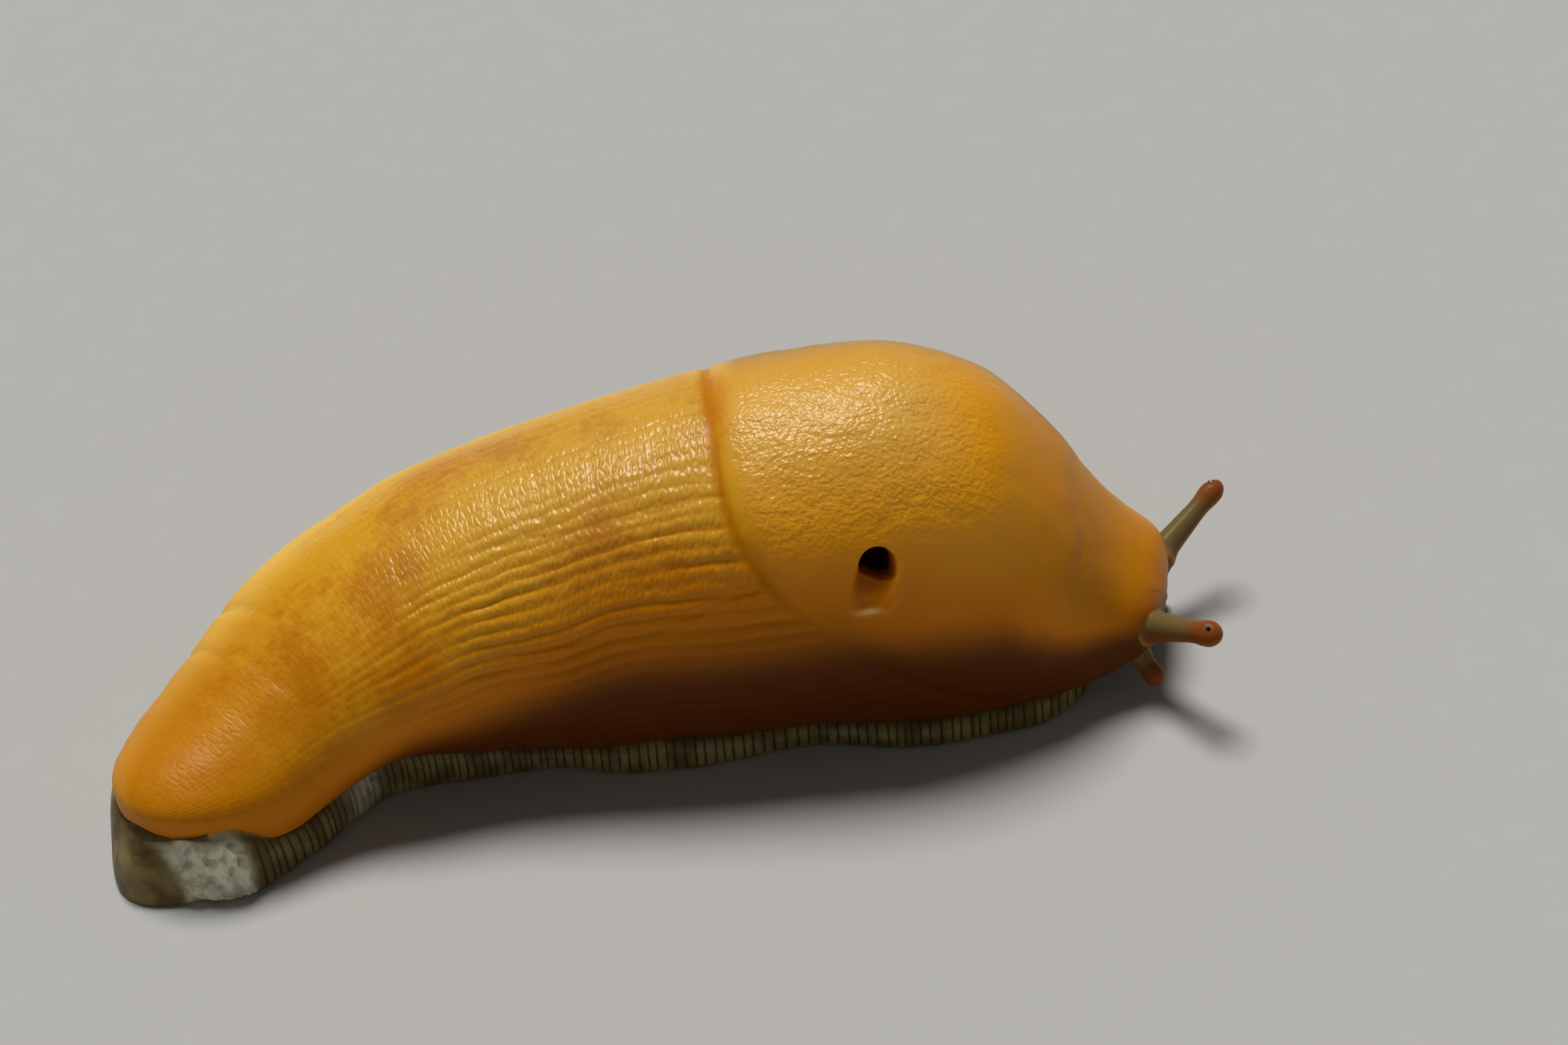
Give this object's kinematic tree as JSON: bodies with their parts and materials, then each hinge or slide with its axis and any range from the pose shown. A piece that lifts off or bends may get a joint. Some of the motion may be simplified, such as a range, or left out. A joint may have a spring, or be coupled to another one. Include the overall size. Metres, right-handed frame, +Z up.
{
  "type": "banana slug model",
  "caption": "Life-size still model of a crawling banana slug with its tail swung aside, mantle, breathing hole, fluted foot and feelers; rests on its sole.",
  "frame": {"origin": "on the sole's flat underside, under the middle of the body", "axes": "+X the way the middle of the body heads, +Y to the slug's left, +Z up from the floor"},
  "size_m": [0.1073, 0.0418, 0.0337],
  "materials": {
    "skin": "wet, ridged skin",
    "mantle_skin": "wet, finely grained skin",
    "foot_skin": "wet, finely fluted skin",
    "feeler_skin": "wet, smooth skin",
    "eye": "polished"
  },
  "bodies": {
    "root": {"head": "skin", "mantle": "mantle_skin", "torso": "skin", "tail": "skin", "foot_rear": "foot_skin", "foot_middle": "foot_skin", "foot_front": "foot_skin", "tentacle_upper_left": "feeler_skin", "tentacle_upper_right": "feeler_skin", "tentacle_lower_left": "feeler_skin", "tentacle_lower_right": "feeler_skin", "eye_left": "eye", "eye_right": "eye"}
  },
  "joints": []
}
